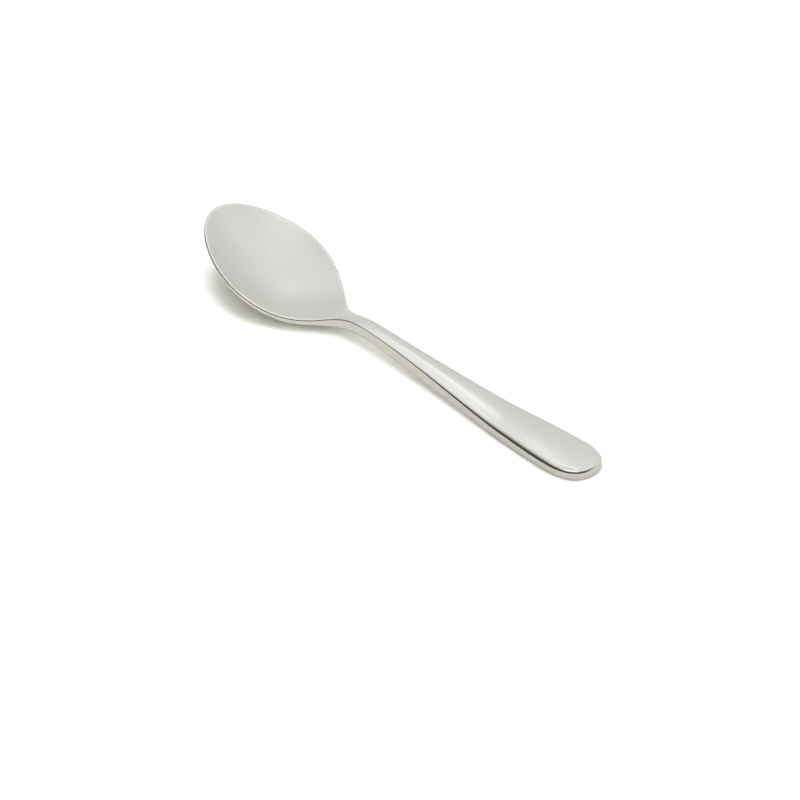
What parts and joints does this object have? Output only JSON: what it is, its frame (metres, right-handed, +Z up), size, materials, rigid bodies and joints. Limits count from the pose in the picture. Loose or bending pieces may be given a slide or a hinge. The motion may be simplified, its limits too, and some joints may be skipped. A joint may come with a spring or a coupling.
{
  "type": "demitasse spoon",
  "caption": "Small coffee spoon with an oval bowl, a slim neck and a gently arched handle that widens to a rounded end, for stirring and sipping.",
  "frame": {"origin": "middle of the spoon's bounding box, on the table that it lies on", "axes": "+X from the handle's end to the bowl's tip, +Y to the left of that, +Z up out of the bowl"},
  "size_m": [0.112, 0.0254, 0.0135],
  "materials": {
    "polished_steel": "bright polish with a soft sheen"
  },
  "bodies": {
    "root": {"spoon": "polished_steel"}
  },
  "joints": []
}
